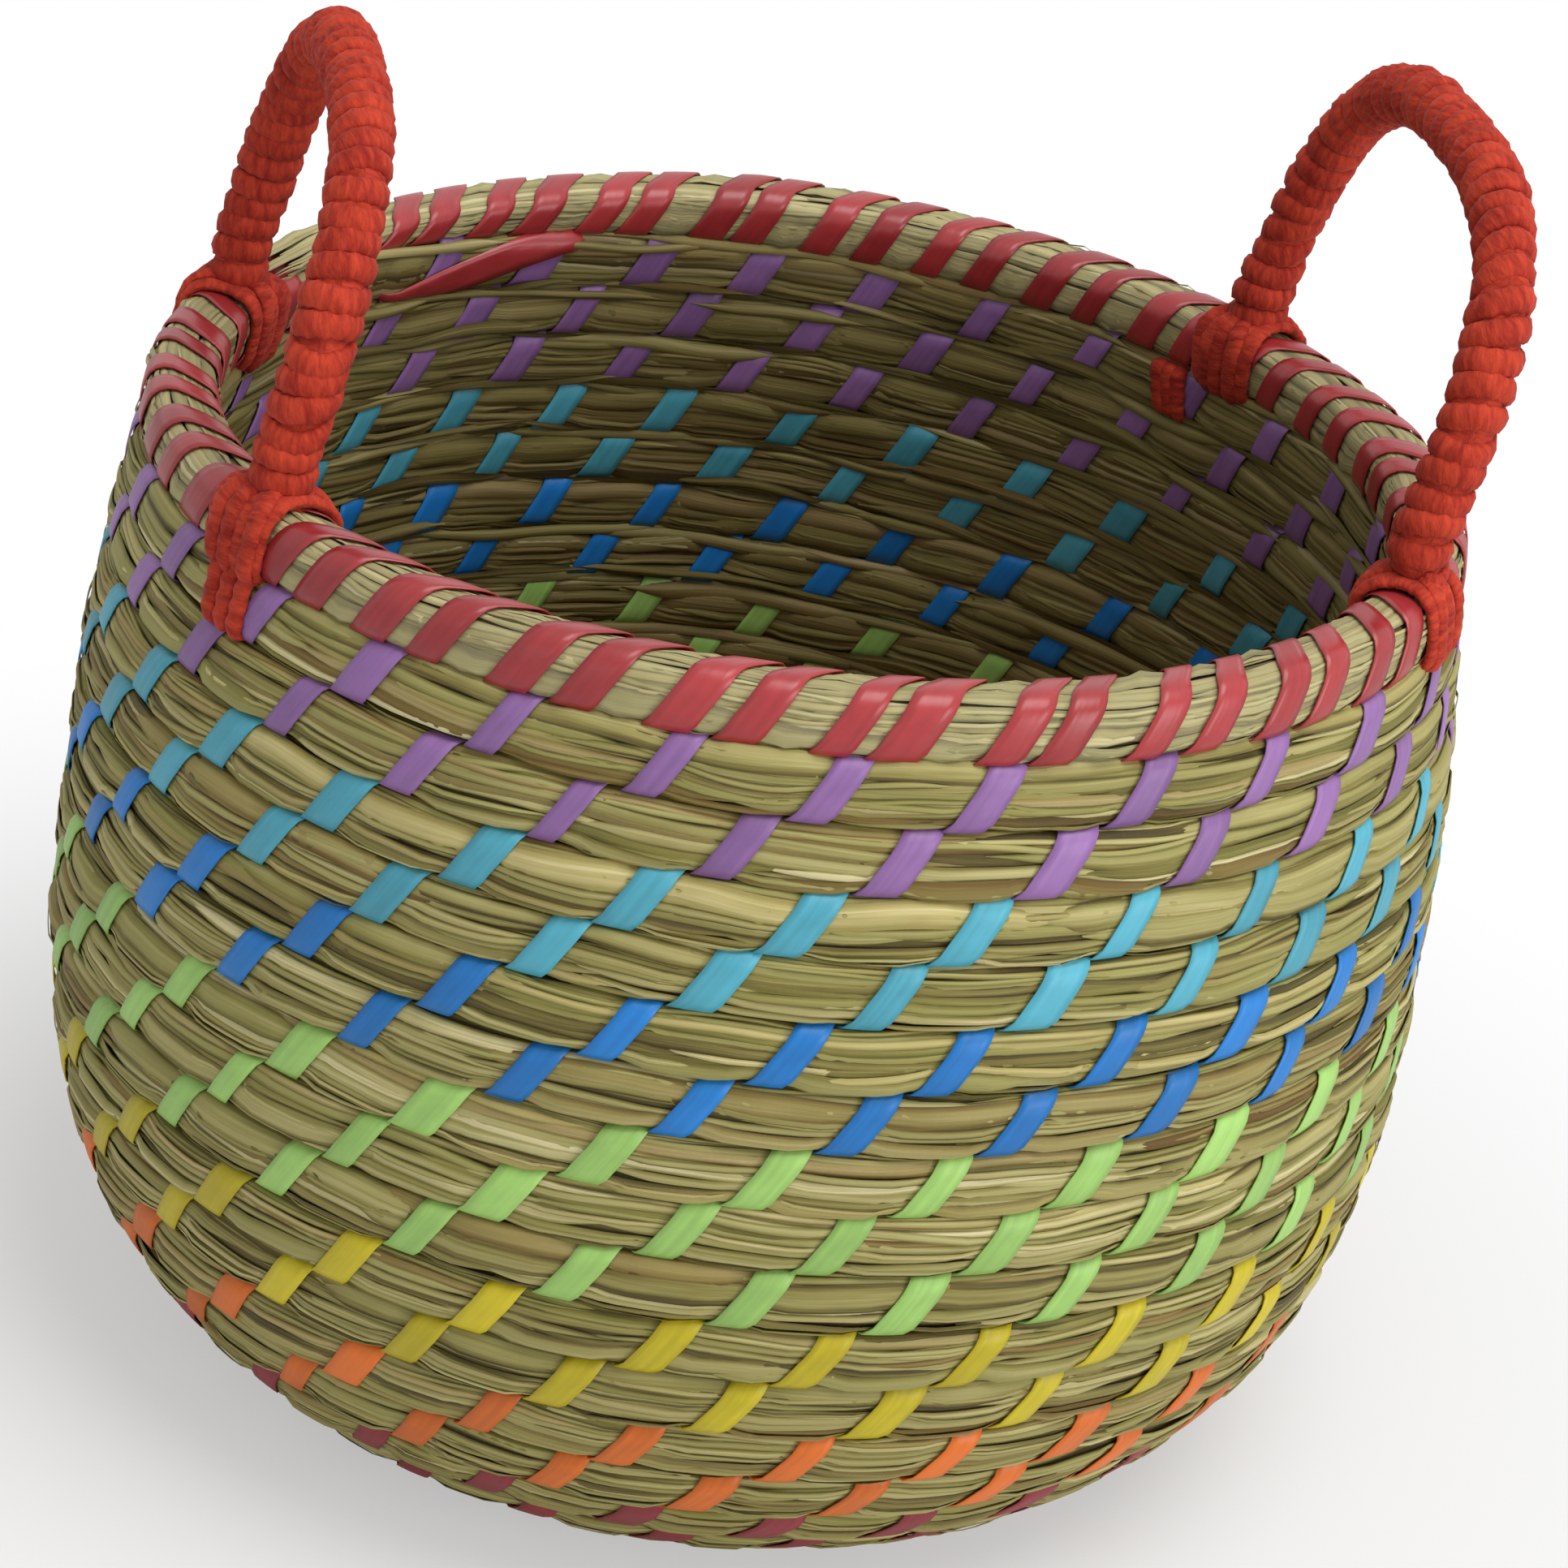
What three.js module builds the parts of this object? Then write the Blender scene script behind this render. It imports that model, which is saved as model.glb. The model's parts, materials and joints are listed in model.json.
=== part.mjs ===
import * as THREE from 'three';

// Handled basket: one seagrass bundle coiled up from the middle of the base to
// the rim, bound with coloured strips, and two wound rope handles lashed to the
// rim. Millimetres, +Z up, standing on z = 0. The handles stand at -X and +X.

const radians = THREE.MathUtils.degToRad;
const upward = new THREE.Vector3(0, 0, 1);
const backward = new THREE.Vector3(0, 1, 0);

// The coiled bundle
const rimRadius = 115;
const rowPitch = 10.9;
const bundleOut = 6.3;
const bundleShoulder = 4.5;
const bundleIn = 6;
const rowGap = 1.5;
const baseRowGap = 0.8;
const coilStartRadius = 0.62 * rowPitch;
const coilEndAngle = radians(143);
const taperTurns = 0.16;
const taperHeight = 0.3;
const taperThickness = 0.7;
const baseStepsPerTurn = 16;
const baseFromTurn = 17;

// Lean of the wall in degrees against the distance below the front of the rim,
// measured down its outer face and given as a share of the rim's radius
const wallLean = [
  [-0.07, 8],
  [0.29, 8.5],
  [0.44, 6],
  [0.58, 1.5],
  [0.76, 2],
  [0.88, 0],
  [1.02, -7],
  [1.17, -14],
  [1.27, -24],
  [1.37, -34],
  [1.46, -43],
  [1.56, -53],
  [1.66, -70],
  [1.74, -90],
];
const flatFromLean = radians(-52);
const flatFullLean = radians(-86);

// The strips that bind the rows. Widths and slants along a row are shares of
// the distance between two stitches
const stitchesPerTurn = 28.5;
const clearance = 0.3;
const stripWidth = 0.31;
const stripEdge = 0.25;
const stripCrown = 0.6;
const outerSlant = 0.24;
const innerSlant = 0.2;
const stitchStart = 0.25;

// Where each strip starts and stops, in turns below the end of the coil
const strips = [
  { name: 'rim_strip_coral', from: 0.03, to: 1, color: 0xc84b50 },
  { name: 'wall_strip_purple', from: 1, to: 3.45, color: 0xa06eb9 },
  { name: 'wall_strip_teal', from: 3.45, to: 5.45, color: 0x55afc3 },
  { name: 'wall_strip_blue', from: 5.45, to: 7.45, color: 0x1e7dd2 },
  { name: 'wall_strip_green', from: 7.45, to: 10.45, color: 0x8cd26e },
  { name: 'wall_strip_yellow', from: 10.45, to: 12.45, color: 0xc8af14 },
  { name: 'wall_strip_orange', from: 12.45, to: 14.48, color: 0xeb6e2d },
  { name: 'wall_strip_dark_pink', from: 14.48, to: 15.24, color: 0xa53c46 },
];

// The handles. Each stands up as half an ellipse from foot to foot, is swung
// from the X axis toward the front, and leans toward +X as in the photograph
const handles = [
  { hand: 'left', side: -1, halfSpan: 49, height: 58, swing: 0, lean: radians(11.5) },
  { hand: 'right', side: 1, halfSpan: 57, height: 55, swing: radians(2.5), lean: radians(11.5) },
];
const coreRadius = 3.5;
const coreSides = 8;
const coreSteps = 18;
const domeSteps = [80, 45];
const windingLoops = 24;
const windingSteps = 6;
const windingGap = 0.6;
const windingThickness = 1.7;
const windingStart = 3;

// The yarn lashings that hold the handles' feet. Their half widths are along the
// rim: low on its outer face, high on that face, on top, and low inside
const lashingStrands = 4;
const lashingYarn = 1.5;
const lashingValley = 0.8;
const lashingLow = 12.5;
const lashingHigh = 10;
const lashingTop = 7;
const lashingInside = 11;
const lashingStations = [
  { corner: 0.15, halfWidth: lashingLow },
  { corner: 0.6, halfWidth: lashingHigh },
  { corner: 1, halfWidth: lashingTop },
  { corner: 2, halfWidth: lashingTop },
  { corner: 2.85, halfWidth: lashingInside },
];

const materials = {
  seagrass: makeMaterial(0x9c9263, 0.75),
  core: makeMaterial(0xb09a64, 0.85),
  yarn: makeMaterial(0xd7412d, 0.9),
};

function makeMaterial(color, roughness) {
  return new THREE.MeshStandardMaterial({ color, roughness, metalness: 0 });
}

// A value from a table of pairs, on the straight line between its neighbours
function readTable(table, x) {
  const last = table.length - 1;
  if (x <= table[0][0]) return table[0][1];
  if (x >= table[last][0]) return table[last][1];
  const i = table.findIndex((row) => row[0] > x);
  const [x0, y0] = table[i - 1];
  const [x1, y1] = table[i];
  return y0 + ((y1 - y0) * (x - x0)) / (x1 - x0);
}

const share = (x, from, to) => THREE.MathUtils.clamp((x - from) / (to - from), 0, 1);
const { lerp } = THREE.MathUtils;

// The middle line of the wall, from the rim down to the middle of the base, as
// equal steps of radius, height and lean
function traceWall() {
  const step = 0.25;
  const topLean = radians(wallLean[0][1]);
  let down = wallLean[0][0] * rimRadius;
  const aboveFront = 0.5 * rowPitch - down;
  let r = rimRadius - Math.sin(topLean) * aboveFront;
  let z = 0;
  const points = [];
  let along = 0;
  for (;;) {
    const lean = radians(readTable(wallLean, down / rimRadius));
    const point = {
      r: r - bundleOut * Math.cos(lean),
      z: z - bundleOut * Math.sin(lean),
      lean,
    };
    const before = points.at(-1);
    if (before) along += Math.hypot(point.r - before.r, point.z - before.z);
    points.push({ ...point, along });
    if (lean <= radians(-89.9) && point.r < coilStartRadius - rowPitch) break;
    r += Math.sin(lean) * step;
    z -= Math.cos(lean) * step;
    down += step;
  }
  for (const point of points) point.z -= z;
  return points;
}

const wall = traceWall();
const coilLength = wall.find((p) => p.lean <= radians(-89.9) && p.r <= coilStartRadius).along;
const coilTurns = coilLength / rowPitch - 0.5;

// The wall's middle line at a distance down it
function wallAt(along) {
  const spacing = wall[1].along;
  let i = Math.min(Math.floor(along / spacing), wall.length - 2);
  while (i > 0 && wall[i].along > along) i -= 1;
  while (i < wall.length - 2 && wall[i + 1].along < along) i += 1;
  const a = wall[Math.max(i, 0)];
  const b = wall[Math.max(i, 0) + 1];
  const t = (along - a.along) / (b.along - a.along);
  return { r: lerp(a.r, b.r, t), z: lerp(a.z, b.z, t), lean: lerp(a.lean, b.lean, t) };
}

function offWall(along, out) {
  const { r, z, lean } = wallAt(along);
  return [r + out * Math.cos(lean), z + out * Math.sin(lean)];
}

// The gap between a row and its neighbours. Two passes of the strip cross in
// it, and it makes up for the flat sides of the steps where the wall leans, and
// for the bend of the wall, which brings the rows together on the inside
function gapAt(turn) {
  const along = rowPitch * (turn + 0.5);
  const { r, lean } = wallAt(along);
  const flatSides = turn < baseFromTurn
    ? r * (1 - Math.cos(Math.PI / stitchesPerTurn)) * Math.abs(Math.sin(lean))
    : 0;
  const bend = Math.max(0, wallAt(along - 4).lean - wallAt(along + 4).lean) / 8;
  const closing = 1 - bend * (bundleIn + clearance + stripCrown);
  const bound = lerp(rowGap, baseRowGap, share(turn, strips.at(-1).to, strips.at(-1).to + 1));
  return (bound + flatSides) / closing;
}

// How the bundle stands a number of turns below the coil's end: the distances
// down the wall of its upper and lower sides, and how slim its end is
function bundleAt(turn) {
  const half = (rowPitch - gapAt(turn)) / 2;
  const low = rowPitch * (turn + 0.5) + half;
  const taper = share(turn, 0, taperTurns);
  const high = low - 2 * half * lerp(taperHeight, 1, taper);
  return { low, high, slim: lerp(taperThickness, 1, taper) };
}

// The bundle's section: the outer lower corner, the outer ridge, the outer
// upper, inner upper and inner lower corners
function section(turn) {
  const { low, high, slim } = bundleAt(turn);
  const shoulder = (along) => {
    const flatness = share(wallAt(along).lean, flatFromLean, flatFullLean);
    return slim * lerp(bundleShoulder, bundleOut, flatness);
  };
  return [
    offWall(low, shoulder(low)),
    offWall((low + high) / 2, slim * bundleOut),
    offWall(high, shoulder(high)),
    offWall(high, -slim * bundleIn),
    offWall(low, -slim * bundleIn),
  ];
}

// The corners of a box round the section, a distance out from its faces and
// another from its upper and lower sides: outer lower, outer upper, inner
// upper and inner lower
function boxCorners(turn, out, over) {
  const { low, high, slim } = bundleAt(turn);
  const bend = wallAt(low).lean - wallAt(high).lean;
  const bulge = ((low - high) / 2) * Math.abs(Math.tan(bend / 4));
  const outside = slim * bundleOut + bulge + out;
  const inside = -slim * bundleIn - out;
  return [
    offWall(low + over, outside),
    offWall(high - over, outside),
    offWall(high - over, inside),
    offWall(low + over, inside),
  ];
}

const angleAt = (turn) => coilEndAngle - 2 * Math.PI * turn;

function around([r, z], angle) {
  return new THREE.Vector3(r * Math.cos(angle), r * Math.sin(angle), z);
}

// A point at one corner of the box round the bundle, on the flat side between
// two of the bundle's steps
function offBundle(corner, turn, out, over) {
  const place = turn * stitchesPerTurn;
  const low = Math.floor(place + 1e-9);
  const ends = [low, low + 1].map((step) => {
    const stepTurn = step / stitchesPerTurn;
    return around(boxCorners(stepTurn, out, over)[corner], angleAt(stepTurn));
  });
  return ends[0].lerp(ends[1], place - low);
}

// The faces that close a ring of points, in the ring's own order of turning
function capFaces(ring) {
  const normal = new THREE.Vector3();
  ring.forEach((p, k) => normal.add(p.clone().cross(ring[(k + 1) % ring.length])));
  normal.normalize();
  const across = ring[1].clone().sub(ring[0]).projectOnPlane(normal).normalize();
  const up = normal.clone().cross(across);
  const flat = ring.map((p) => new THREE.Vector2(p.dot(across), p.dot(up)));
  return THREE.ShapeUtils.triangulateShape(flat, []).map(([i, j, k]) => {
    const turn = flat[j].clone().sub(flat[i]).cross(flat[k].clone().sub(flat[i]));
    return turn > 0 ? [i, j, k] : [i, k, j];
  });
}

// A closed solid from a row of rings of points. The sides are split along the
// shorter diagonal, so that both faces of a thin twisted strip turn alike
function skinRings(rings) {
  const sides = rings[0].length;
  const points = rings.flat();
  const positions = points.flatMap((p) => [p.x, p.y, p.z]);
  const index = [];
  for (let i = 0; i + 1 < rings.length; i += 1) {
    for (let k = 0; k < sides; k += 1) {
      const a = i * sides + k;
      const b = i * sides + ((k + 1) % sides);
      const [nextA, nextB] = [a + sides, b + sides];
      if (points[a].distanceTo(points[nextB]) < points[b].distanceTo(points[nextA]) - 0.01) {
        index.push(a, b, nextB, a, nextB, nextA);
      } else {
        index.push(a, b, nextA, b, nextB, nextA);
      }
    }
  }
  const last = (rings.length - 1) * sides;
  for (const [i, j, k] of capFaces(rings[0])) index.push(i, k, j);
  for (const [i, j, k] of capFaces(rings.at(-1))) index.push(last + i, last + j, last + k);
  return closedGeometry(positions, index);
}

function closedGeometry(positions, index) {
  let volume = 0;
  const at = (i) => new THREE.Vector3().fromArray(positions, 3 * i);
  for (let i = 0; i < index.length; i += 3) {
    const [a, b, c] = [at(index[i]), at(index[i + 1]), at(index[i + 2])];
    volume += a.dot(b.cross(c)) / 6;
  }
  const faces = volume < 0 ? index.slice().reverse() : index;
  const geometry = new THREE.BufferGeometry();
  geometry.setAttribute('position', new THREE.Float32BufferAttribute(positions, 3));
  geometry.setIndex(faces);
  return geometry.toNonIndexed();
}

function finished(name, geometry, material) {
  geometry.computeVertexNormals();
  const mesh = new THREE.Mesh(geometry, material);
  mesh.name = name;
  return mesh;
}

// The bundle's steps, in turns below its end: one between every two stitches on
// the wall, and the same angles in each row of the base
function coilSteps() {
  const steps = [];
  for (let step = 0; step / stitchesPerTurn < baseFromTurn; step += 1) {
    steps.push(step / stitchesPerTurn);
  }
  for (let turn = baseFromTurn; turn < coilTurns; turn += 1 / baseStepsPerTurn) steps.push(turn);
  return steps;
}

// One strip wound round its rows: up the outer face, over the row, down the
// inner face and back under to the next stitch
function buildStrip({ from, to }) {
  const passSlant = (1 - outerSlant - innerSlant) / 2;
  const lean = [0, outerSlant, outerSlant + passSlant, 1 - passSlant];
  const first = Math.ceil(from * stitchesPerTurn);
  const afterLast = Math.ceil(to * stitchesPerTurn);
  const rings = [];
  for (let step = afterLast - 1; step >= first; step -= 1) {
    lean.forEach((slant, corner) => {
      const point = (side, crown, edge) => offBundle(
        corner,
        (step + 1 - stitchStart - slant - side) / stitchesPerTurn,
        clearance + crown,
        clearance + edge,
      );
      const edges = [point(-stripWidth / 2, 0, 0), point(stripWidth / 2, 0, 0)];
      const rise = point(0, stripCrown, stripEdge).sub(point(0, 0, 0));
      const ridge = edges[0].clone().lerp(edges[1], 0.5).add(rise);
      rings.push([edges[0], ridge, edges[1]]);
    });
  }
  return skinRings(rings);
}

// The distance of the handles' feet from the basket's middle line
const footReach = wallAt(rowPitch).r;

// The angle round the rim of a handle's front foot, -1, or its back one, 1
function footAngle({ side, halfSpan, swing }, end) {
  const middle = side < 0 ? Math.PI : 0;
  return middle - side * swing + side * end * Math.asin(halfSpan / footReach);
}

// Turns below the coil's end of the top row at an angle round the rim
function topTurn(angle) {
  const turn = (coilEndAngle - angle) / (2 * Math.PI);
  return turn - Math.floor(turn);
}

const lashingOut = clearance + stripCrown + clearance;
const lashingOver = clearance + stripEdge + clearance;
const lashingHalf = Math.max(...lashingStations.map((s) => s.halfWidth));

// The height of the flat top of the lashings under one handle
function seatHeight(handle) {
  let top = 0;
  for (const end of [-1, 1]) {
    for (const across of [-lashingHalf, 0, lashingHalf]) {
      const angle = footAngle(handle, end) + across / rimRadius;
      const corners = boxCorners(topTurn(angle), lashingOut, lashingOver);
      top = Math.max(top, corners[1][1], corners[2][1]);
    }
  }
  return top + lashingYarn;
}

// Strands of yarn side by side over the rim, spreading down both of its faces
function buildLashing(handle, end) {
  const middle = footAngle(handle, end);
  const columns = 2 * lashingStrands + 1;
  const seat = seatHeight(handle);
  const place = (corner, across, yarn) => {
    const turn = topTurn(middle + across / rimRadius);
    const low = Math.floor(corner);
    const at = (k) => offBundle(k, turn, lashingOut + yarn, lashingOver);
    return corner === low ? at(low) : at(low).lerp(at(low + 1), corner - low);
  };
  const rings = lashingStations.map(({ corner, halfWidth }) => {
    const outer = [];
    const inner = [];
    for (let i = 0; i < columns; i += 1) {
      const across = halfWidth * ((2 * i) / (columns - 1) - 1);
      const onTop = corner === 1 || corner === 2;
      const point = place(corner, across, i % 2 ? lashingYarn : lashingValley);
      if (onTop) point.z = seat;
      outer.push(point);
      if (i % 2 === 0) inner.unshift(place(corner, across, 0));
    }
    return [...outer, ...inner];
  });
  return skinRings(rings);
}

// The axis that a handle flexes about runs through the ends of its legs
function handleAxis(handle) {
  const middle = handle.side * Math.sqrt(footReach ** 2 - handle.halfSpan ** 2);
  const z = seatHeight(handle) + clearance + coreRadius;
  return new THREE.Vector3(middle, 0, z).applyAxisAngle(upward, -handle.side * handle.swing);
}

// How a handle's rope runs: its length, and the points off it at a distance
// along it and a turn round it
function traceRope(handle) {
  const { side, halfSpan, height, swing, lean } = handle;
  const curve = new THREE.EllipseCurve(0, 0, halfSpan, height, Math.PI, 0, true);
  const length = curve.getLength();
  const middle = handleAxis(handle);
  const off = (along, turn, radius) => {
    const at = curve.getPointAt(along / length);
    const toward = curve.getTangentAt(along / length);
    const out = radius * Math.cos(turn);
    const point = new THREE.Vector3(
      radius * Math.sin(turn),
      at.x - out * toward.y,
      at.y + out * toward.x,
    );
    point.applyAxisAngle(backward, lean);
    return point.applyAxisAngle(upward, -side * swing).add(middle);
  };
  return { length, off };
}

// The rope in the middle of a handle, with round ends that sit on its lashings
function buildCore(handle) {
  const rope = traceRope(handle);
  const ring = (along, radius) =>
    Array.from({ length: coreSides }, (_, k) =>
      rope.off(along, (2 * Math.PI * (k + 0.5)) / coreSides, radius));
  const dome = (end) => domeSteps.map((degrees) => {
    const drop = coreRadius * Math.sin(radians(degrees));
    const points = ring(end, coreRadius * Math.cos(radians(degrees)));
    for (const point of points) point.z = handleAxis(handle).z - drop;
    return points;
  });
  const rings = dome(0);
  for (let i = 0; i <= coreSteps; i += 1) {
    rings.push(ring((rope.length * i) / coreSteps, coreRadius));
  }
  rings.push(...dome(rope.length).reverse());
  return skinRings(rings);
}

// The yarn wound along the rope, one unbroken length, as rings of its section
function windingRings(handle) {
  const rope = traceRope(handle);
  const pitch = (rope.length - 2 * windingStart) / windingLoops;
  const inner = (coreRadius + clearance) / Math.cos(Math.PI / windingSteps);
  const half = (pitch - windingGap) / 2;
  const rings = [];
  for (let i = 0; i <= (windingLoops - 1) * windingSteps; i += 1) {
    const along = windingStart + pitch / 2 + (pitch * i) / windingSteps;
    const turn = (2 * Math.PI * i) / windingSteps;
    rings.push([
      rope.off(along - half, turn, inner),
      rope.off(along, turn, inner + windingThickness),
      rope.off(along + half, turn, inner),
    ]);
  }
  return rings;
}

// The least distance between a coiled solid's surface and its surface one turn
// further on, from points along both faceted outlines. The turns say how far
// round each of its rings stands
function leastGap(rings, turns) {
  const outline = (turn) => {
    let i = 0;
    while (i + 2 < turns.length && turns[i + 1] <= turn) i += 1;
    const t = (turn - turns[i]) / (turns[i + 1] - turns[i]);
    const corners = rings[i].map((corner, k) => corner.clone().lerp(rings[i + 1][k], t));
    return corners.flatMap((corner, k) =>
      [0, 0.25, 0.5, 0.75].map((s) => corner.clone().lerp(corners[(k + 1) % corners.length], s)));
  };
  let least = Infinity;
  for (let turn = 0; turn + 1 < turns.at(-1); turn += 0.01) {
    const next = outline(turn + 1);
    for (const point of outline(turn)) {
      for (const other of next) least = Math.min(least, point.distanceTo(other));
    }
  }
  return least.toFixed(2);
}

const coilRings = coilSteps().map((turn) =>
  section(turn).map((corner) => around(corner, angleAt(turn))));

const basket = new THREE.Group();
basket.name = 'handled_basket';
basket.add(finished('seagrass_coil', skinRings(coilRings), materials.seagrass));
for (const strip of strips) {
  basket.add(finished(strip.name, buildStrip(strip), makeMaterial(strip.color, 0.4)));
}
for (const handle of handles) {
  const { hand } = handle;
  const winding = skinRings(windingRings(handle));
  basket.add(finished(`${hand}_handle_core`, buildCore(handle), materials.core));
  basket.add(finished(`${hand}_handle_winding`, winding, materials.yarn));
  for (const [place, end] of [['front', -1], ['back', 1]]) {
    const name = `${hand}_${place}_lashing`;
    basket.add(finished(name, buildLashing(handle, end), materials.yarn));
  }
}

console.log(`coil turns ${coilTurns.toFixed(2)}, least gap ${leastGap(coilRings, coilSteps())} mm`);
for (const handle of handles) {
  const rings = windingRings(handle);
  const turns = rings.map((_, i) => i / windingSteps);
  const { x, y, z } = handleAxis(handle);
  console.log(`${handle.hand} winding, ${windingLoops} loops, least gap ${leastGap(rings, turns)} mm`);
  console.log(`${handle.hand} axis at ${[x, y, z].map((v) => v.toFixed(2))}, seat ${seatHeight(handle).toFixed(2)}`);
}

export default basket;
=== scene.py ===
"""Looks of the handled basket: the grass bundle, its binding strips and the yarn of its handles.

Metres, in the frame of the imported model: +Z up, standing on z = 0, handles at -X and +X.
"""

import json
import logging
import math
from collections.abc import Callable
from dataclasses import dataclass, field
from enum import Enum

import bpy
import numpy as np
from mathutils import Matrix, Vector


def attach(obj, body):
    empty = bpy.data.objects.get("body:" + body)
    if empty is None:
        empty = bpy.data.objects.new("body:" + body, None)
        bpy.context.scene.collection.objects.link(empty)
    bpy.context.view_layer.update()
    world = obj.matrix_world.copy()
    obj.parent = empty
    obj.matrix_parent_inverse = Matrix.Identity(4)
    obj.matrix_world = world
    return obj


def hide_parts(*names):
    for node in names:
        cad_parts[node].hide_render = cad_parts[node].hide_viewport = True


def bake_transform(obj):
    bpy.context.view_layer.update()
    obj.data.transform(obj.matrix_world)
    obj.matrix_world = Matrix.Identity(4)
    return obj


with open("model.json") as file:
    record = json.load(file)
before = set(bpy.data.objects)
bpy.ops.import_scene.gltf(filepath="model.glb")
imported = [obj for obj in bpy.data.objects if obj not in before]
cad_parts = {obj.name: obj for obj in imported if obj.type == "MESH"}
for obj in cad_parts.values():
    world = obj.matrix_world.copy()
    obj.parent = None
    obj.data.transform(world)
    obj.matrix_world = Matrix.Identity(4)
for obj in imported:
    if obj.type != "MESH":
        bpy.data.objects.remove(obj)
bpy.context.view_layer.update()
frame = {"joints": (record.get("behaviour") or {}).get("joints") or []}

MM = 0.001
SEED = 946
TURN = 2 * math.pi
UP = np.array([0.0, 0.0, 1.0])

Array = np.ndarray
Random = np.random.Generator
Material = bpy.types.Material
Object = bpy.types.Object

log = logging.getLogger("basket")


class Body(Enum):
    """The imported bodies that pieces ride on."""

    BASKET = "basket"
    LEFT = "left_handle"
    RIGHT = "right_handle"


def linear(*channels: float) -> tuple[float, ...]:
    """A colour of 0 to 255 a channel, as a screen shows it, in linear light with an alpha of 1."""
    shares = [channel / 255 for channel in channels]
    return tuple(share / 12.92 if share <= 0.04045 else ((share + 0.055) / 1.055) ** 2.4
                 for share in shares) + (1.0,)


def smooth(x: Array, low: float, high: float) -> Array:
    """An S-shaped ramp over x, which is 0 at low and 1 at high."""
    t = np.clip((np.asarray(x, float) - low) / (high - low), 0, 1)
    return t * t * (3 - 2 * t)


def unit(v: Array) -> Array:
    """Vectors scaled to a length of 1."""
    return v / np.maximum(np.linalg.norm(v, axis=-1, keepdims=True), 1e-12)


def running(steps: Array) -> Array:
    """The running total of some steps, from 0."""
    return np.concatenate([[0], np.cumsum(steps)])


def distances(path: Array) -> Array:
    """How far along a path each of its points lies."""
    return running(np.linalg.norm(np.diff(path, axis=0), axis=1))


def waves(x: Array, seed: float) -> Array:
    """A smooth wandering value between about -1 and 1: three sines, shifted by the seed."""
    total = 0.0
    for k in range(3):
        scramble, often, damping = 12.9898 + 7.31 * k, 0.61 + 0.73 * k, 1 + 0.6 * k
        phase = np.sin(seed * scramble + 4.1 * k) * 437.585
        total = total + np.sin(TURN * (x * often + phase)) / damping
    return total / 1.9


def link(name: str, data: bpy.types.ID) -> Object:
    """A new object in the scene."""
    made = bpy.data.objects.new(name, data)
    bpy.context.scene.collection.objects.link(made)
    return made


def operator(operation: str, swapped: bool = False) -> Callable:
    """Makes a method of Socket that adds a Math node."""
    def method(self: "Socket", other: "Socket | float") -> "Socket":
        """The Math node's result."""
        return self.shader.maths(operation, *((other, self) if swapped else (self, other)))

    return method


class Socket:
    """A value in a shader. Its operators add Math nodes."""

    __add__ = operator("ADD")
    __radd__ = operator("ADD", swapped=True)
    __sub__ = operator("SUBTRACT")
    __mul__ = operator("MULTIPLY")
    __rmul__ = operator("MULTIPLY", swapped=True)

    def __init__(self, shader: "Shader", output: bpy.types.NodeSocket) -> None:
        """Wraps one output of a node."""
        self.shader = shader
        self.output = output


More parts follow.
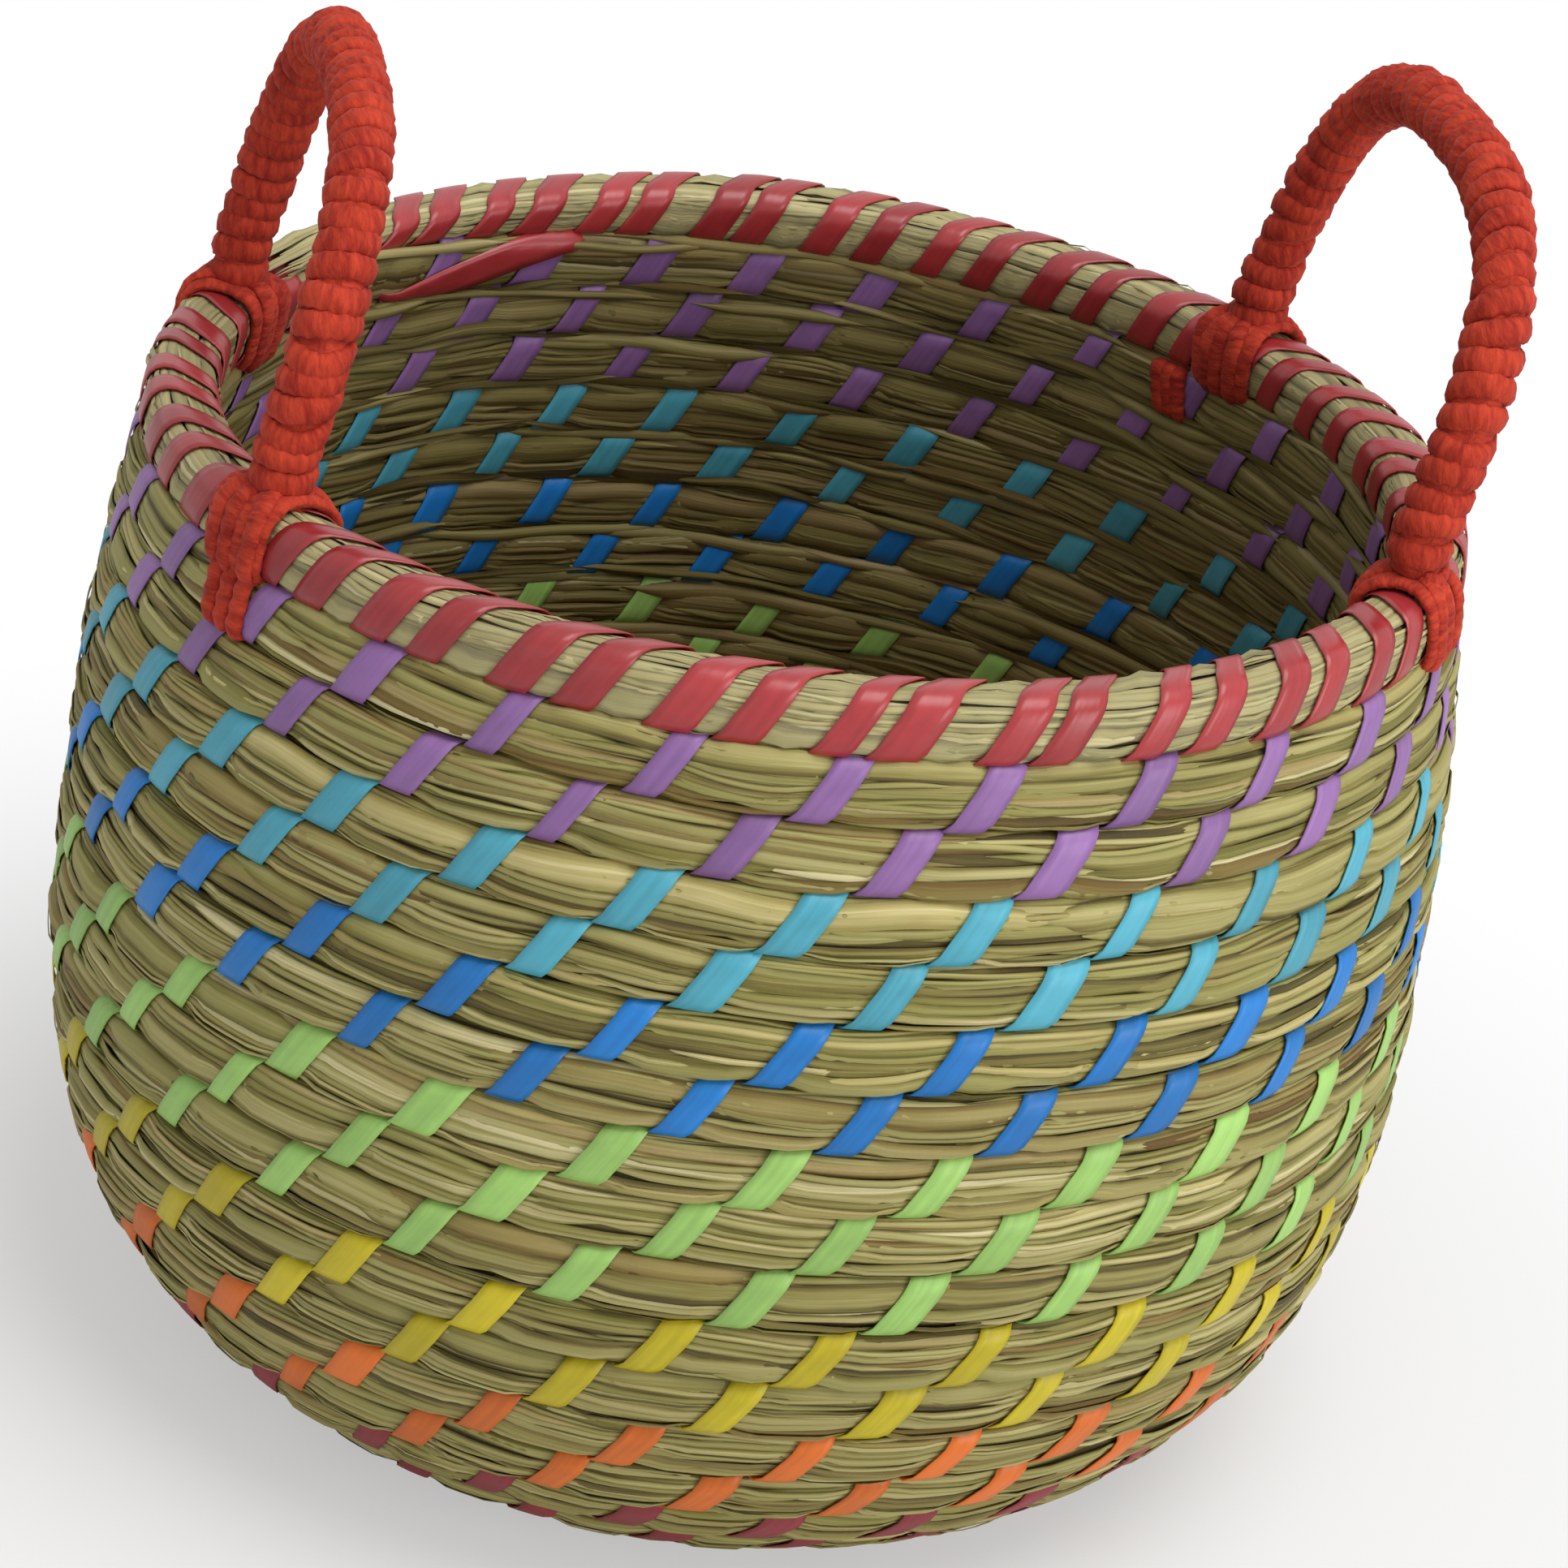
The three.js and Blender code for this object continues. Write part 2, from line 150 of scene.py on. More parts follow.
class Shader:
    """The nodes of one material, or of the world."""

    def __init__(self, name: str, world: bpy.types.World | None = None) -> None:
        """Makes an empty material, or empties the world."""
        self.owner = world or bpy.data.materials.new(name)
        self.owner.use_nodes = True
        self.tree = self.owner.node_tree
        self.tree.nodes.clear()

    def node(self, kind: str, settings: dict | None = None, values: dict | None = None,
             output: int | str = 0) -> Socket:
        """Adds any node.

        Args:
            kind: the node's type, without its ShaderNode prefix.
            settings: its settings, such as an operation.
            values: a number, colour or socket for each input, by name or place.
            output: which of its outputs is wanted.

        Returns:
            That output.
        """
        made = self.tree.nodes.new("ShaderNode" + kind)
        for name, value in (settings or {}).items():
            setattr(made, name, value)
        for name, value in (values or {}).items():
            if isinstance(value, Socket):
                self.tree.links.new(value.output, made.inputs[name])
            else:
                made.inputs[name].default_value = value
        return Socket(self, made.outputs[output])

    def tones(self, value: Socket, stops: tuple) -> Socket:
        """A value turned into a colour by stops, each a place and a colour of 0 to 255."""
        made = self.node("ValToRGB", None, {0: value})
        elements = made.output.node.color_ramp.elements
        while len(elements) < len(stops):
            elements.new(0.5)
        for element, (place, colour) in zip(elements, stops):
            element.position = place
            element.color = linear(*colour)
        return made

    def maths(self, operation: str, a: "Socket | float", b: "Socket | float") -> Socket:
        """A Math node on two values."""
        return self.node("Math", {"operation": operation}, {0: a, 1: b})

    def mix(self, share: "Socket | float", a: "Socket | tuple", b: "Socket | tuple",
            blend: str = "MIX") -> Socket:
        """Two colours mixed by a share."""
        settings = {"data_type": "RGBA", "blend_type": blend, "clamp_factor": True}
        return self.node("Mix", settings, {0: share, 6: a, 7: b}, 2)

    def ramp(self, value: Socket, low: float, high: float) -> Socket:
        """A value spread from low and high to 0 and 1."""
        settings = {"interpolation_type": "SMOOTHSTEP"}
        return self.node("MapRange", settings, {0: value, 1: low, 2: high})

    def attribute(self, name: str, output: str = "Fac") -> Socket:
        """A value that the mesh carries."""
        return self.node("Attribute", {"attribute_name": name}, output=output)

    def noise(self, scale: tuple, detail: float = 3, rough: float = 0.55) -> Socket:
        """Noise over the grain that the mesh carries, with a scale along, across and between."""
        grain = self.attribute("grain", "Vector")
        stretched = self.node("Mapping", None, {"Vector": grain, "Scale": scale})
        values = {"Vector": stretched, "Scale": 1.0, "Detail": detail, "Roughness": rough}
        return self.node("TexNoise", None, values)

    def finish(self, surface: Socket) -> bpy.types.ID:
        """Ends the material or the world with its surface."""
        out = self.tree.nodes.new("ShaderNodeOutput" + type(self.owner).__name__)
        self.tree.links.new(surface.output, out.inputs["Surface"])
        return self.owner

    def coat(self, relief: Socket, strength: float, distance: float, values: dict) -> Material:
        """Ends the material with a surface that has these values and a bump from its relief."""
        bump = {"Strength": strength, "Distance": distance, "Height": relief}
        values = values | {"Normal": self.node("Bump", None, bump)}
        return self.finish(self.node("BsdfPrincipled", None, values))


class MeshBuffer:
    """Collects grids of points and turns them into one piece."""

    def __init__(self) -> None:
        """Starts empty."""
        self.points, self.loops, self.sizes = [], [], []
        self.values: dict[str, list[Array]] = {}
        self.count = 0

    def add_grid(self, points: Array, grain: tuple = (), tube: bool = False,
                 **values: Array) -> None:
        """Adds rows of points joined by faces.

        Args:
            points: rows by columns by 3.
            grain: how far each point lies along its fibres and across them, and a number that
                sets a strand apart.
            tube: whether each row is a closed ring, with a face at either end.
            **values: one value per point, carried to the shader as the grain is.
        """
        if grain:
            vectors = np.stack(np.broadcast_arrays(*grain, points[..., 0])[:3], axis=-1)
            values = {"grain": vectors, **values}
        rows, columns = points.shape[:2]
        index = self.count + np.arange(rows * columns).reshape(rows, columns)
        right = np.roll(index, -1, axis=1) if tube else index[:, 1:]
        left = index if tube else index[:, :-1]
        quads = np.stack([left[:-1], right[:-1], right[1:], left[1:]], axis=-1).reshape(-1, 4)
        self.loops.append(quads.ravel())
        self.sizes.append(np.full(len(quads), 4))
        if tube:
            self.loops.extend([index[0][::-1], index[-1]])
            self.sizes.append(np.full(2, columns))
        self.points.append(points.reshape(-1, 3))
        for name, value in values.items():
            size = (rows, columns, 3) if name == "grain" else (rows, columns)
            filled = np.broadcast_to(value, size).reshape(rows * columns, -1)
            self.values.setdefault(name, []).append(filled)
        self.count += rows * columns

    def piece(self, name: str, material: Material) -> Object:
        """Makes the mesh.

        Args:
            name: the piece's name.
            material: its finish.

        Returns:
            The new object, smooth shaded.
        """
        mesh = bpy.data.meshes.new(name)
        points = np.concatenate(self.points)
        loops = np.concatenate(self.loops)
        sizes = np.concatenate(self.sizes)
        mesh.vertices.add(len(points))
        mesh.vertices.foreach_set("co", points.astype(np.float32).ravel())
        mesh.loops.add(len(loops))
        mesh.loops.foreach_set("vertex_index", loops.astype(np.int32))
        mesh.polygons.add(len(sizes))
        mesh.polygons.foreach_set("loop_start", running(sizes)[:-1].astype(np.int32))
        for key, parts in self.values.items():
            data = np.concatenate(parts)
            kind, socket = ("FLOAT_VECTOR", "vector") if data.shape[1] == 3 else ("FLOAT", "value")
            attribute = mesh.attributes.new(key, kind, "POINT")
            attribute.data.foreach_set(socket, data.astype(np.float32).ravel())
        mesh.update(calc_edges=True)
        mesh.shade_smooth()
        mesh.materials.append(material)
        log.info("%s: %d points, %d faces", name, len(points), len(sizes))
        return link(name, mesh)


@dataclass
class WallProfile:
    """The middle line of the wall, from the rim down to the middle of the base."""

    rim_radius: float = 115 * MM
    row_pitch: float = 10.9 * MM
    outer_reach: float = 6.3 * MM
    start_radius: float = 0.62 * 10.9 * MM
    step: float = 0.25 * MM
    longest_share: float = 3.2
    flat_lean: float = math.radians(-89.9)
    lean_table: tuple = (
        (-0.07, 8), (0.29, 8.5), (0.44, 6), (0.58, 1.5), (0.76, 2), (0.88, 0), (1.02, -7),
        (1.17, -14), (1.27, -24), (1.37, -34), (1.46, -43), (1.56, -53), (1.66, -70), (1.74, -90),
    )

    def __post_init__(self) -> None:
        """Traces the wall."""
        shares, leans = np.array(self.lean_table).T
        length = self.longest_share * self.rim_radius
        down = shares[0] * self.rim_radius + np.arange(0, length, self.step)
        lean = np.radians(np.interp(down / self.rim_radius, shares, leans))
        above = 0.5 * self.row_pitch - down[0]
        top = self.rim_radius - math.sin(lean[0]) * above
        r = top + self.step * running(np.sin(lean))[:-1]
        z = -self.step * running(np.cos(lean))[:-1]
        r = r - self.outer_reach * np.cos(lean)
        z = z - z[-1] - self.outer_reach * np.sin(lean)
        along = running(np.hypot(np.diff(r), np.diff(z)))
        keep = r > self.start_radius - self.row_pitch
        self.along, self.r, self.z, self.lean = (line[keep] for line in (along, r, z, lean))
        ends = (self.lean <= self.flat_lean) & (self.r <= self.start_radius)
        self.length = float(self.along[ends][0])

    def at(self, along: Array) -> tuple[Array, Array, Array]:
        """Radius, height and lean at a distance down the wall."""
        return tuple(np.interp(along, self.along, line) for line in (self.r, self.z, self.lean))


@dataclass
class Coil:
    """The bundle's path and surface: turns below its end, and round its section."""

    wall: WallProfile = field(default_factory=WallProfile)
    end_angle: float = math.radians(143)
    per_turn: float = 28.5
    bound_turns: float = 15.24
    base_margin: float = 0.1
    rim_second: float = 0.43
    rim_end: float = 1.04
    rim_turns: tuple = (0.9, 1.0)
    depth: float = 6.1 * MM
    half_height: float = 5.5 * MM
    squareness: float = 4.4
    rim_squareness: float = 3.0
    pinch_depth: float = 0.35 * MM
    pinch_height: float = 0.05 * MM
    pinch_flat: float = 2.9 * MM
    pinch_end: float = 7.4 * MM
    swell: float = 0.25 * MM
    waves_in_turn: int = 9
    taper_turns: float = 0.16
    taper_height: float = 0.3
    taper_depth: float = 0.7
    floor: float = 0.05 * MM
    facing_in: tuple = (-0.3, 0.6)
    # The turns over which the painted shade inside the basket comes in, so that the rim row gets
    # less of it.
    inside_turns: tuple = (0.2, 1.3)
    table_step: float = 0.005
    corners: tuple = (-45, -37, -28, 38, 48, 64, 116, 135, 225, 244, 296, 315)
    corner_leads: tuple = (0.25, 0.285, 0.31, 0.465, 0.485, 0.52, 0.74, 0.77, 0.97, 1.0, 1.22,
                           1.25)

    def __post_init__(self) -> None:
        """Tabulates the stitches and the section's girth."""
        turns = np.arange(-0.5, self.turns + 0.5, self.table_step)
        spacing = float(self.radius(self.bound_turns)) * TURN / self.per_turn
        loose_rate = TURN * self.radius(turns) / spacing
        self.table_rate = np.where(turns < self.bound_turns, self.per_turn, loose_rate)
        counts = running(self.table_rate[:-1] * np.diff(turns))
        self.table_turns = turns
        self.table_counts = counts - np.interp(0, turns, counts)
        self.table_angles = np.radians(np.linspace(-90, 270, 721))
        x, y = self.section(self.table_angles, self.depth, self.half_height)
        girth = running(np.hypot(np.diff(x), np.diff(y)))
        self.table_girth = girth - np.interp(0, self.table_angles, girth)
        self.girth_low, self.girth_high = self.table_girth[[0, -1]]
        self.girth = self.girth_high - self.girth_low

    @property
    def turns(self) -> float:
        """How many turns the coil has."""
        return self.wall.length / self.wall.row_pitch - 0.5

    def radius(self, turn: Array) -> Array:
        """The radius of the bundle's middle line."""
        return self.wall.at(self.wall.row_pitch * (np.asarray(turn) + 0.5))[0]

    def run(self, first: float, last: float) -> float:
        """The length of the bundle between two turns."""
        return TURN * float(np.mean(self.radius(np.linspace(first, last, 50)))) * (last - first)

    def count(self, turn: Array) -> Array:
        """How many stitches lie above a turn."""
        return np.interp(turn, self.table_turns, self.table_counts)

    def turn_of(self, count: Array) -> Array:
        """The turn at which that many stitches lie above."""
        return np.interp(count, self.table_counts, self.table_turns)

    def spacing(self, turn: Array) -> Array:
        """The distance between two stitches along the row."""
        return TURN * self.radius(turn) / np.interp(turn, self.table_turns, self.table_rate)

    def section(self, angle: Array, depth: Array, height: Array,
                turn: Array = math.inf) -> tuple:
        """A rounded box round the bundle: how far out and how far up."""
        c, s = np.cos(angle), np.sin(angle)
        rounder = (self.squareness - self.rim_squareness) * (1 - smooth(turn, *self.rim_turns))
        power = self.squareness - rounder * (s > 0)
        reach = (np.abs(c) ** power + np.abs(s) ** power) ** (-1 / power)
        return depth * c * reach, height * s * reach

    def angle_of(self, girth: Array) -> Array:
        """The angle round the section at a distance round it from its outer middle."""
        wrapped = self.girth_low + np.mod(np.asarray(girth) - self.girth_low, self.girth)
        return np.interp(wrapped, self.table_girth, self.table_angles)

    def lead(self, angle: Array) -> Array:
        """How far round the row a strip has gone at an angle round the section."""
        past = np.degrees(angle) - self.corners[0]
        wrapped = self.corners[0] + np.mod(past, 360)
        return np.interp(wrapped, self.corners, self.corner_leads) + np.floor(past / 360)

    def pinch(self, turn: Array, angle: Array) -> Array:
        """How tightly a strip holds the bundle at a place, from 0 to 1."""
        phase = self.count(turn) + self.lead(angle)
        gap = np.abs(phase - np.round(phase))
        second = np.abs(phase - self.rim_second - np.round(phase - self.rim_second))
        gap = np.where(np.asarray(turn) < self.rim_end, np.minimum(gap, second), gap)
        return 1 - smooth(gap * self.spacing(turn), self.pinch_flat, self.pinch_end)

    def surface(self, turn: Array, angle: Array, lift: Array,
                pinch: Array | None = None) -> Array:
        """Points on the bundle.

        Args:
            turn: turns below the coil's end.
            angle: angle round the section, 0 outward and a quarter turn up.
            lift: how far off the surface.
            pinch: how tightly it is held there, or what the strips give.

        Returns:
            The points.
        """
        turn, angle, lift = np.broadcast_arrays(np.asarray(turn, float), angle, lift)
        held = self.pinch(turn, angle) if pinch is None else pinch
        r, z, lean = self.wall.at(self.wall.row_pitch * (turn + 0.5))
        taper = np.clip(turn / self.taper_turns, 0, 1)
        slim = self.taper_depth + (1 - self.taper_depth) * taper
        low = self.taper_height + (1 - self.taper_height) * taper
        swell = self.swell * waves(turn * self.waves_in_turn, 3.1)
        across, upward = self.section(angle, 1.0, 1.0, turn)
        x = (slim * (self.depth + swell - self.pinch_depth * held) + lift) * across
        height = self.half_height - self.pinch_height * held
        y = ((upward + 1) * low - 1) * height + lift * upward
        around = self.end_angle - TURN * turn
        radial = np.stack([np.cos(around), np.sin(around), np.zeros_like(around)], axis=-1)
        cosine, sine = np.cos(lean)[..., None], np.sin(lean)[..., None]
        outward = cosine * radial + sine * UP
        down = sine * radial - cosine * UP
        centre = r[..., None] * radial + z[..., None] * UP
        points = centre + x[..., None] * outward - y[..., None] * down
        points[..., 2] = np.maximum(points[..., 2], self.floor)
        return points


@dataclass(frozen=True)
class GrassFinish:
    """Dry seagrass: flat leaves with fine lengthwise fibres. Ranges are of each leaf's draw."""

    name: str = "dry_seagrass"
    # Share of painted light on the top row: the rim row's grass is mixed toward a paler colour.
    bleach: float = 0.0
    tones: tuple = (
        (0.0, (66, 56, 26)), (0.15, (100, 88, 42)), (0.35, (136, 127, 68)), (0.55, (158, 150, 92)),
        (0.75, (178, 168, 112)), (0.9, (196, 185, 130)), (1.0, (216, 205, 156)),
    )
    fibre_scale: tuple = (45, 2100, 1)
    line_scale: tuple = (22, 900, 1)
    blotch_scale: tuple = (38, 150, 1)
    fibre_weight: float = 0.5
    line_weight: float = 0.7
    blotch_weight: float = 0.35
    stain: tuple = (134, 98, 50)
    stained_leaves: tuple = (0.8, 0.98)
    stained_blotches: tuple = (0.6, 0.85)
    green: tuple = (140, 138, 66)
    green_leaves: tuple = (0.34, 0.08)
    straw: tuple = (196, 176, 108)
    straw_leaves: tuple = (0.62, 0.7, 0.78)
    # Painted light: the paler colour of the rim row, standing in for the light that falls on the
    # top of the basket.
    bleached: tuple = (200, 192, 156)
    # Painted shade: leaves facing into the basket are darkened and browned toward this colour.
    shade: tuple = (112, 90, 52)
    most_stain: float = 0.5
    most_tint: float = 0.4
    # Painted shade inside the basket: how far leaves facing in are darkened, and how far browned;
    # the browning is partly grass that is less pale inside.
    inside_darker: float = 0.4
    inside_browner: float = 0.2

    def material(self) -> Material:
        """Builds the finish from each leaf's tone and the grain along it, with painted light on the
        rim row and painted shade inside the basket.
        """
        s = Shader(self.name)
        inside = s.attribute("inside")
        leaf = s.node("SeparateXYZ", None, {0: s.attribute("grain", "Vector")}, "Z")
        draw = s.node("TexWhiteNoise", {"noise_dimensions": "1D"}, {"W": leaf}, "Value")
        fibres = s.noise(self.fibre_scale, 3, 0.6)
        lines = s.noise(self.line_scale, 2)
        blotches = s.noise(self.blotch_scale, 3)
        # The tone carries each leaf's own lightness and the painted shade at its edges.
        value = s.attribute("tone") + (fibres - 0.5) * self.fibre_weight
        value = value + (lines - 0.5) * self.line_weight + (blotches - 0.5) * self.blotch_weight
        low, middle, high = self.straw_leaves
        paled = s.ramp(draw, low, middle) * s.ramp(draw, high, middle)
        layers = (
            (s.ramp(draw, *self.stained_leaves) * self.most_stain, self.stain, "MIX"),
            (s.ramp(draw, *self.green_leaves) * self.most_tint, self.green, "MIX"),
            (paled * self.most_tint, self.straw, "MIX"),
            (s.ramp(blotches, *self.stained_blotches) * self.most_tint, self.stain, "MIX"),
            # Painted light on the rim row.
            (self.bleach, self.bleached, "MIX"),
            # Painted shade on leaves facing into the basket, darkened and browned; the browning is
            # partly grass that is less pale inside.
            (inside * self.inside_darker, self.shade, "MULTIPLY"),
            (inside * self.inside_browner, self.shade, "MIX"),
        )
        colour = s.tones(value, self.tones)
        for share, tint, blend in layers:
            colour = s.mix(share, colour, linear(*tint), blend)
        values = {"Base Color": colour, "Roughness": 0.5 + fibres * 0.3, "Specular IOR Level": 0.3}
        return s.coat(fibres * 0.5 + lines * 0.5, 0.6, 0.5 * MM, values)


@dataclass(frozen=True)
class PithFinish:
    """The middle of the bundle, seen between the leaves, painted dark as the shade in the gaps
    between them.
    """

    dark: tuple = (72, 60, 30)
    light: tuple = (126, 112, 64)
    strand_scale: tuple = (40, 1500, 1)

    def material(self) -> Material:
        """Builds the finish."""
        s = Shader("shaded_grass")
        strands = s.noise(self.strand_scale)
        colour = s.mix(strands, linear(*self.dark), linear(*self.light))
        return s.coat(strands, 0.8, 0.8 * MM, {"Base Color": colour, "Roughness": 0.9})


@dataclass(frozen=True)
class StripFinish:
    """A flat coloured strip with a soft shine."""

    name: str
    colour: tuple
    roughness: float
    # Painted shade: strips facing into the basket are darkened toward this colour.
    shade: tuple = (150, 135, 130)
    deep_share: float = 0.7
    pale_share: float = 1.1
    pale_lift: float = 0.008
    streak_scale: tuple = (30, 900, 1)
    mottle_scale: tuple = (260, 260, 1)
    # How far strips facing into the basket are darkened as painted shade.
    inside_darker: float = 0.05

    def material(self) -> Material:
        """Builds the finish."""
        s = Shader(self.name)
        streaks = s.noise(self.streak_scale, 3)
        mottle = s.noise(self.mottle_scale, 2)
        base = linear(*self.colour)[:3]
        deep = tuple(c * self.deep_share for c in base) + (1.0,)
        pale = tuple(min(1.0, c * self.pale_share + self.pale_lift) for c in base) + (1.0,)
        shade = s.attribute("tone") * 0.5 + streaks * 0.5 + (mottle - 0.5) * 0.35
        bright = s.mix(s.ramp(shade, 0.15, 0.85), deep, pale)
        # Painted shade on strips facing into the basket.
        painted_shade_share = s.attribute("inside") * self.inside_darker
        values = {"Base Color": s.mix(painted_shade_share, bright, linear(*self.shade), "MULTIPLY"),
                  "Roughness": self.roughness - 0.08 + mottle * 0.16, "Specular IOR Level": 0.5}
        return s.coat(streaks, 0.25, 0.2 * MM, values)


@dataclass(frozen=True)
class YarnFinish:
    """Thick soft yarn of a few plies."""

    name: str = "yarn"
    light: tuple = (208, 72, 46)
    dark: tuple = (136, 28, 20)
    fibre_scale: tuple = (900, 260, 1)
    patch_scale: tuple = (60, 60, 1)

    def material(self) -> Material:
        """Builds the finish."""
        s = Shader(self.name)
        fibres = s.noise(self.fibre_scale, 4, 0.65)
        shade = fibres * 0.65 + s.noise(self.patch_scale, 2) * 0.35
        colour = s.mix(s.ramp(shade, 0.3, 0.72), linear(*self.dark), linear(*self.light))
        values = {"Base Color": colour, "Roughness": 0.85, "Specular IOR Level": 0.2,
                  "Sheen Weight": 0.04, "Sheen Roughness": 0.5}
        return s.coat(fibres, 0.7, 0.5 * MM, values)


@dataclass(frozen=True)
class Band:
    """One colour of binding strip and the rows that it holds."""

    name: str
    colour: tuple
    first: float
    last: float
    node: str
    roughness: float = 0.46


BANDS = (
    Band("coral_rim", (168, 46, 50), 0.03, 1, "rim_strip_coral", 0.34),
    Band("purple", (148, 104, 166), 1, 3.45, "wall_strip_purple"),
    Band("teal", (76, 168, 190), 3.45, 5.45, "wall_strip_teal"),
    Band("blue", (8, 122, 204), 5.45, 7.45, "wall_strip_blue"),
    Band("green", (160, 206, 106), 7.45, 10.45, "wall_strip_green"),
    Band("yellow", (204, 186, 0), 10.45, 12.45, "wall_strip_yellow"),
    Band("orange", (222, 108, 14), 12.45, 14.48, "wall_strip_orange"),
    Band("dark_pink", (148, 46, 54), 14.48, 15.24, "wall_strip_dark_pink"),
)


@dataclass
class Rows:
    """The rows of one band while their leaves are laid."""

    first: float
    last: float
    rng: Random
    buffer: MeshBuffer = field(default_factory=MeshBuffer)

    def tone(self, middle: float, spread: float) -> float:
        """Draws how light a leaf is, from 0 to 1."""
        return float(np.clip(self.rng.normal(middle, spread), 0.05, 1))

    def draws(self, *ranges: tuple) -> list[float]:
        """Draws a value from each range."""
        return [self.rng.uniform(*one) for one in ranges]


@dataclass(frozen=True)
class LeafKind:
    """A kind of leaf that lies loose over the lanes."""

    widths: tuple
    cover: float
    lifts: tuple
    tone_spread: float


WIDE_LEAVES = LeafKind((2.8 * MM, 5.6 * MM), 0.42, (0.36 * MM, 0.5 * MM), 0.12)
THIN_LEAVES = LeafKind((0.6 * MM, 1.5 * MM), 0.3, (0.34 * MM, 0.6 * MM), 0.2)


@dataclass(frozen=True)
class GrassBundle:
    """The coiled bundle: a middle painted dark as the shade between the leaves, wrapped in
    lengthwise leaves.
    """

    coil: Coil
    pith_step: float = 3 * MM
    pith_sides: int = 14
    pith_sink: float = 0.55 * MM
    leaf_step: float = 2.4 * MM
    fewest_steps: int = 6
    leaf_lengths: tuple = (55 * MM, 190 * MM)
    leaf_tip: float = 11 * MM
    tip_share: float = 0.03
    tip_power: float = 0.75
    tip_dive: float = 0.7 * MM
    first_turn: float = 0.004
    end_margin: float = 0.02
    drift: float = 0.8 * MM
    stray_wave: float = 50 * MM
    width_stray: float = 0.14
    wander_wave: float = 70 * MM
    face_reach: float = 7.4 * MM
    lane_pitch: float = 1.55 * MM
    lane_widths: tuple = (1.05, 1.75)
    lane_lifts: tuple = (-0.22 * MM, -0.02 * MM)
    lane_shift: float = 0.25
    lane_start: float = 0.1
    lane_tone: tuple = (0.56, 0.22)
    lane_wander: float = 0.6 * MM
    tip_overlap: float = 0.8
    loose_start: float = 0.06
    loose_tone: float = 0.62
    loose_wanders: tuple = (0.3, 1.1)
    tilt: float = 0.1 * MM
    crown_share: float = 0.22
    most_crown: float = 0.42 * MM
    held_press: float = 0.8
    held_sink: float = 0.1 * MM
    edge_shade: float = 0.6
    gap_share: float = 0.2
    gap_lengths: tuple = (4 * MM, 22 * MM)
    free_spacing: float = 42 * MM
    free_places: tuple = (3.5 * MM, 6.0 * MM)
    free_lengths: tuple = (26 * MM, 85 * MM)
    free_widths: tuple = (1.2 * MM, 3.2 * MM)
    free_lifts: tuple = (0.5 * MM, 0.9 * MM)
    free_tone: tuple = (0.6, 0.2)
    free_wander: float = 1.2 * MM
    tail_pitch: float = 1.7 * MM
    # The turn where a leaf of the tail starts, its length, width and lift in mm, and its tone
    tail_ranges: tuple = ((0.006, 0.03), (38, 75), (1.6, 3), (-0.3, 0.4), (0.5, 0.95))
    tail_wander: float = 0.4 * MM
    across: tuple = (-1.0, -0.36, 0.36, 1.0)

    def build_pith(self) -> Object:
        """The dark middle of the whole coil."""
        coil = self.coil
        turns = [0.0]
        while turns[-1] < coil.turns:
            turns.append(turns[-1] + self.pith_step / (TURN * float(coil.radius(turns[-1]))))
        turn = np.array(turns[:-1])[:, None]
        girth = coil.girth_low + coil.girth * np.arange(self.pith_sides) / self.pith_sides
        points = coil.surface(turn, coil.angle_of(girth)[None, :], -self.pith_sink)
        buffer = MeshBuffer()
        buffer.add_grid(points, (distances(points[:, 0])[:, None], girth, 0.0), tube=True)
        return buffer.piece("seagrass_pith", PithFinish().material())

    def add_leaf(self, rows: Rows, start: float, girth: float, length: float, width: float,
                 lift: float, tone: float, wander: float, free: bool = False) -> None:
        """Lays one leaf along the bundle.

        Args:
            rows: takes the leaf, and draws its tilt and seed.
            start: the turn at which it starts.
            girth: where round the section its middle runs.
            length: how long it is.
            width: how wide it is.
            lift: how far off the bundle its edges lie.
            tone: how light it is, from 0 to 1.
            wander: how far it strays from its line.
            free: whether it passes over the strips and isn't held by them.
        """
        coil = self.coil
        tilt = self.tilt * rows.rng.uniform(-1, 1)
        seed = rows.rng.uniform(0, 100)
        s = np.linspace(0, length, max(self.fewest_steps, int(length / self.leaf_step)))
        turn = start + s / (TURN * float(coil.radius(start)))
        keep = turn < coil.turns - self.end_margin
        s, turn = s[keep], turn[keep]
        if len(s) < self.fewest_steps:
            return
        tip = np.minimum(s, s[-1] - s) / self.leaf_tip
        half = width / 2 * np.clip(tip + self.tip_share, self.tip_share, 1) ** self.tip_power
        half = half * (1 + self.width_stray * waves(s / self.stray_wave, seed + 9))
        dive = self.tip_dive * (1 - smooth(tip, 0, 1))
        drift = self.drift * waves(turn * coil.waves_in_turn, 4.4)
        middle = girth + drift + wander * waves(s / self.wander_wave, seed)
        cross = np.array(self.across)
        angle = coil.angle_of(middle[:, None] + half[:, None] * cross)
        held = coil.pinch(turn[:, None], angle) * (not free)
        crown = min(self.crown_share * width, self.most_crown)
        raised = lift + tilt * cross + crown * (1 - cross ** 2) - dive[:, None]
        raised = raised * (1 - self.held_press * held) - self.held_sink * held
        points = coil.surface(turn[:, None], angle, raised, held)
        grain = (s[:, None] + seed, half[:, None] * cross + seed * 0.01, seed)
        # The mask for the painted shade on leaves facing into the basket, weaker on the rim row.
        inside = smooth(-np.cos(angle), *coil.facing_in)
        inside = inside * smooth(turn, *coil.inside_turns)[:, None]
